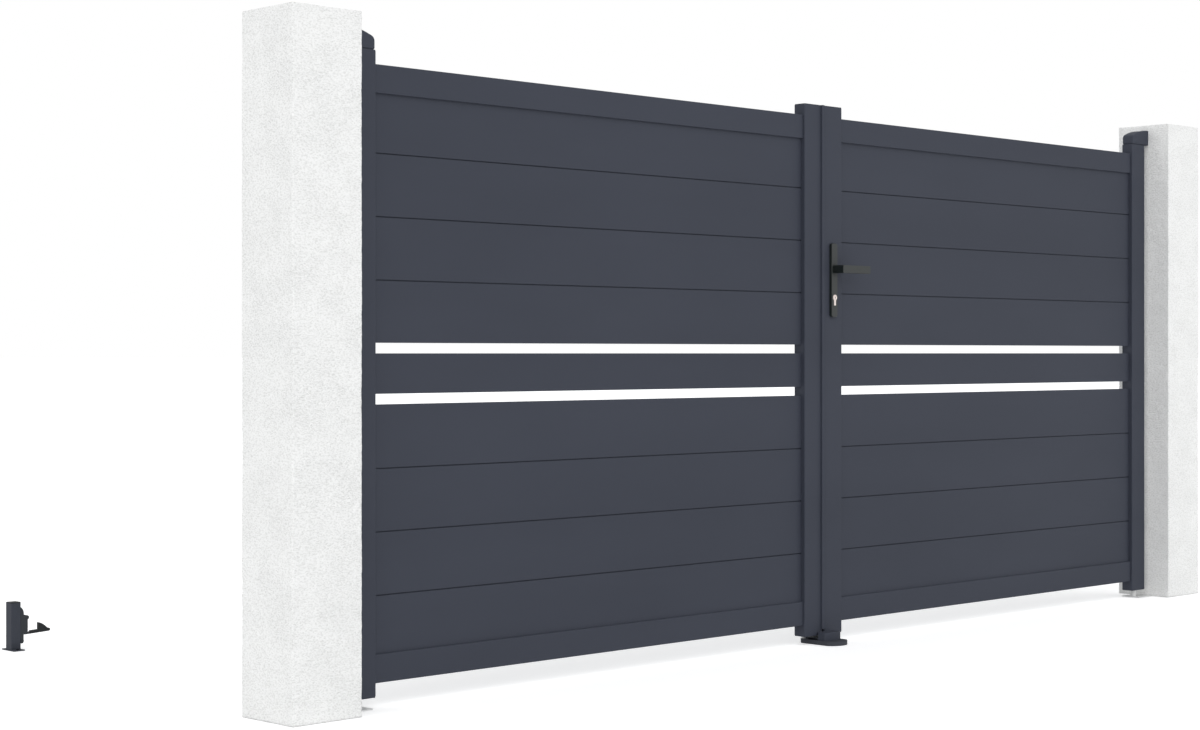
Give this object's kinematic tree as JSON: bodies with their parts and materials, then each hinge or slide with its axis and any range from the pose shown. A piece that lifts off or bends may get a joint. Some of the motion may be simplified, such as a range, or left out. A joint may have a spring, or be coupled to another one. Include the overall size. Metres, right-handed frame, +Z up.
{
  "type": "double swing driveway gate",
  "caption": "Double swing driveway gate with boarded metal leaves between rendered pillars, with a lever lock, a floor stop and tilting hold-open catches.",
  "frame": {"origin": "centre of the left pillar's foot, at ground level", "axes": "+X along the closed gate towards the right pillar, +Y into the driveway, the way the leaves open, +Z up"},
  "size_m": [3.887, 1.618, 1.622],
  "materials": {
    "render": "matte",
    "powder_coat": "matte",
    "zinc": "satin",
    "steel": "satin",
    "nylon": "matte",
    "nickel": "satin",
    "lock_black": "satin",
    "stop_grey": "matte",
    "catch_steel": "matte",
    "catch_black": "matte"
  },
  "bodies": {
    "posts": {"left_pillar": "render", "left_hinge_arm": "zinc", "left_hinge_cap": "powder_coat", "left_bottom_pivot": "zinc", "left_catch_post": "catch_steel", "left_catch_cap": "catch_black", "left_catch_bumper": "catch_black", "right_pillar": "render", "right_hinge_arm": "zinc", "right_hinge_cap": "powder_coat", "right_bottom_pivot": "zinc", "right_catch_post": "catch_steel", "right_catch_cap": "catch_black", "right_catch_bumper": "catch_black", "floor_stop_plate": "stop_grey", "floor_stop_block": "stop_grey"},
    "left_leaf": {"left_hinge_stile": "powder_coat", "left_meeting_stile": "powder_coat", "left_top_rail": "powder_coat", "left_bottom_rail": "powder_coat", "left_upper_boards": "powder_coat", "left_middle_board": "powder_coat", "left_lower_boards": "powder_coat", "left_channel_fillers": "powder_coat", "left_stile_caps": "powder_coat", "left_hinge_bushes": "nylon", "strike_plate": "steel", "closing_strip": "powder_coat"},
    "right_leaf": {"right_hinge_stile": "powder_coat", "right_meeting_stile": "powder_coat", "right_top_rail": "powder_coat", "right_bottom_rail": "powder_coat", "right_upper_boards": "powder_coat", "right_middle_board": "powder_coat", "right_lower_boards": "powder_coat", "right_channel_fillers": "powder_coat", "right_stile_caps": "powder_coat", "right_hinge_bushes": "nylon", "lock_face_plate": "steel", "front_lock_plate": "lock_black", "back_lock_plate": "lock_black", "key_cylinder": "nickel"},
    "lock_handle": {"front_lever": "lock_black", "back_lever": "lock_black", "lever_spindle": "zinc"},
    "left_hook": {"left_catch_arm": "catch_black"},
    "right_hook": {"right_catch_arm": "catch_black"}
  },
  "joints": [
    {"name": "left_leaf_swing", "type": "hinge", "parent": "posts", "child": "left_leaf", "pos_m": [0.162, 0, 0], "axis": [0, 0, 1], "range_deg": [0, 90]},
    {"name": "right_leaf_swing", "type": "hinge", "parent": "posts", "child": "right_leaf", "pos_m": [3.528, 0, 0], "axis": [0, 0, -1], "range_deg": [0, 90]},
    {"name": "handle_turn", "type": "hinge", "parent": "right_leaf", "child": "lock_handle", "pos_m": [1.8848, 0, 1.079], "axis": [0, 1, 0], "range_deg": [0, 40], "stiffness_Nm_per_rad": 1.2, "springref_deg": -17.19},
    {"name": "left_catch_tilt", "type": "hinge", "parent": "posts", "child": "left_hook", "pos_m": [0.136, 1.4855, 0.048], "axis": [0, 1, 0], "range_deg": [0, 25], "stiffness_Nm_per_rad": 0.5, "springref_deg": -22.92},
    {"name": "right_catch_tilt", "type": "hinge", "parent": "posts", "child": "right_hook", "pos_m": [3.554, 1.4855, 0.048], "axis": [0, -1, 0], "range_deg": [0, 25], "stiffness_Nm_per_rad": 0.5, "springref_deg": -22.92}
  ]
}
